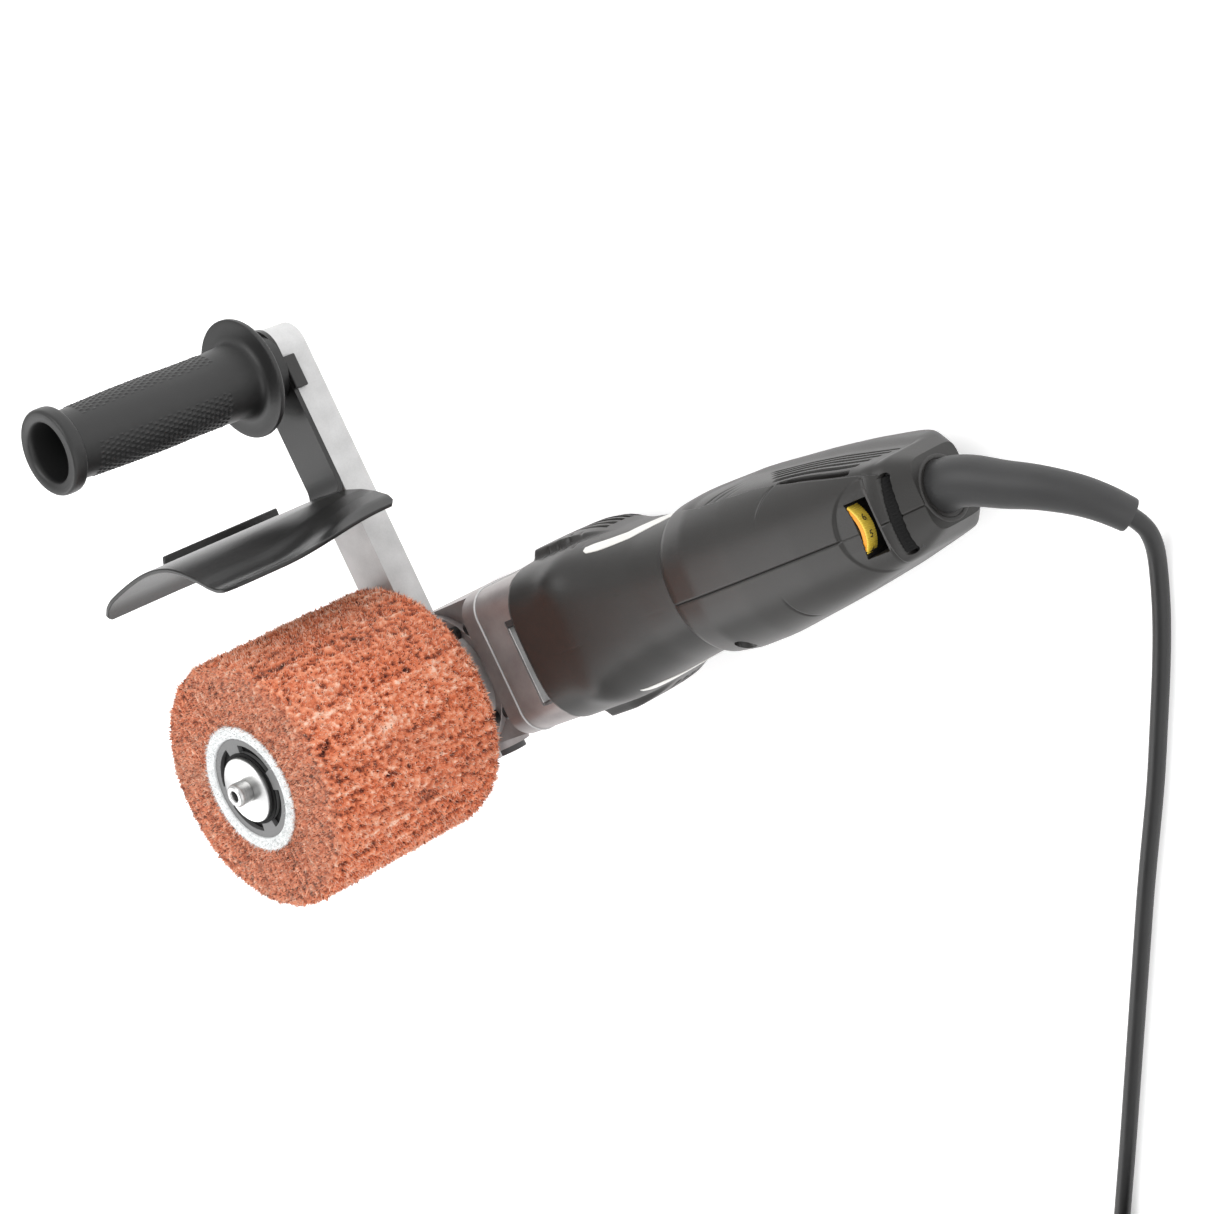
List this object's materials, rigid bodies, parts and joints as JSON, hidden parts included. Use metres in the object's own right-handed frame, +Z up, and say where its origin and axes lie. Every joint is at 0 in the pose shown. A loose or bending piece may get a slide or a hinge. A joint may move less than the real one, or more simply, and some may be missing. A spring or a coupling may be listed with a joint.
{
  "type": "drum burnishing machine",
  "caption": "Hand-held angle-drive burnishing machine with a wide abrasive drum, a bracket bar, a side handle with a hand guard, a speed dial and a mains cord.",
  "frame": {"origin": "under the middle of the machine without its cord, on the surface that it lies on", "axes": "+X along the motor towards the cable entry, +Y towards the side handle, +Z up along the drum's axis, away from the gear head"},
  "size_m": [0.4273, 0.6795, 0.2065],
  "materials": {
    "cast_alloy": "silver paint on a cast light alloy, satin",
    "dark_steel": "blackened steel, satin",
    "bright_steel": "bright turned steel",
    "gear_steel": "oiled grey steel",
    "bronze": "bronze or brass, satin",
    "copper_wire": "enamelled copper",
    "carbon": "pressed carbon, matt",
    "black_plastic": "black moulded plastic, matt",
    "housing_plastic": "warm black moulded plastic, fine satin grain",
    "grey_plastic": "grey moulded plastic",
    "blue_plastic": "blue plastic",
    "board": "potted circuit board",
    "yellow_plastic": "yellow plastic, finely knurled",
    "pale_label": "blank printed film",
    "red_fleece": "orange-red abrasive non-woven fleece with dark grit",
    "white_felt": "pale fibrous core",
    "black_coating": "black powder coating on sheet steel, satin",
    "grip_rubber": "black grip plastic, matt, dotted bands",
    "sleeve_rubber": "dark grey rubber, matt",
    "cord_rubber": "black rubber, matt"
  },
  "bodies": {
    "machine": {"gear_case": "cast_alloy", "bearing_cover": "cast_alloy", "cover_screws": "dark_steel", "motor_flange": "cast_alloy", "flange_screws": "dark_steel", "spindle_bearing": "bright_steel", "spindle_bush": "bronze", "lock_spring": "bright_steel", "front_bearing": "bright_steel", "rear_bearing": "bright_steel", "stator_core": "gear_steel", "field_coils": "copper_wire", "brush_holders": "bronze", "carbon_brushes": "carbon", "motor_housing": "housing_plastic", "name_plates": "pale_label", "rear_shell_upper": "housing_plastic", "rear_shell_lower": "housing_plastic", "shell_screws": "dark_steel", "dial_pot": "blue_plastic", "speed_board": "board", "dust_mesh": "black_plastic", "switch_block": "grey_plastic", "cable_clamp": "black_plastic", "clamp_screws": "bright_steel", "handle_bar": "cast_alloy", "bar_screw": "dark_steel", "guard": "black_coating", "handle_bolt": "bright_steel", "handle_nut": "bright_steel", "handle_collar": "grip_rubber", "handle_grip": "grip_rubber", "cable_sleeve": "sleeve_rubber", "cord_run": "cord_rubber", "cord_coil": "cord_rubber", "cord_tail": "cord_rubber", "plug_body": "cord_rubber", "plug_pins": "bright_steel"},
    "drum": {"spindle": "bright_steel", "crown_gear": "gear_steel", "drum_arbor": "bright_steel", "drive_keys": "gear_steel", "drum_hub": "black_plastic", "core_ring": "white_felt", "abrasive_drum": "red_fleece", "drum_washer": "bright_steel", "drum_bolt": "bright_steel"},
    "armature": {"armature_shaft": "bright_steel", "pinion": "gear_steel", "fan": "grey_plastic", "armature_core": "gear_steel", "armature_windings": "copper_wire", "commutator": "copper_wire"},
    "dial": {"speed_dial": "yellow_plastic"},
    "switch": {"slide_switch": "black_plastic", "switch_rod": "bright_steel"},
    "lock": {"lock_button": "black_plastic", "lock_pin": "bright_steel"}
  },
  "joints": [
    {"name": "drum_spin", "type": "hinge", "parent": "machine", "child": "drum", "pos_m": [-0.1245, -0.069, 0.038], "axis": [0, 0, 1], "continuous": true},
    {"name": "armature_spin", "type": "hinge", "parent": "machine", "child": "armature", "pos_m": [-0.1245, -0.069, 0.038], "axis": [1, 0, 0], "continuous": true},
    {"name": "dial_turn", "type": "hinge", "parent": "machine", "child": "dial", "pos_m": [0.1465, -0.0703, 0.0606], "axis": [0, 0, 1], "range_deg": [-135, 135]},
    {"name": "switch_slide", "type": "slide", "parent": "machine", "child": "switch", "axis": [1, 0, 0], "range_m": [0, 0.006]},
    {"name": "lock_press", "type": "slide", "parent": "machine", "child": "lock", "axis": [0, 1, 0], "range_m": [0, 0.003], "stiffness_N_per_m": 400, "springref_m": -0.002}
  ],
  "couplings": [
    {"joint": "armature_spin", "follows": "drum_spin", "ratio": -3.7}
  ]
}
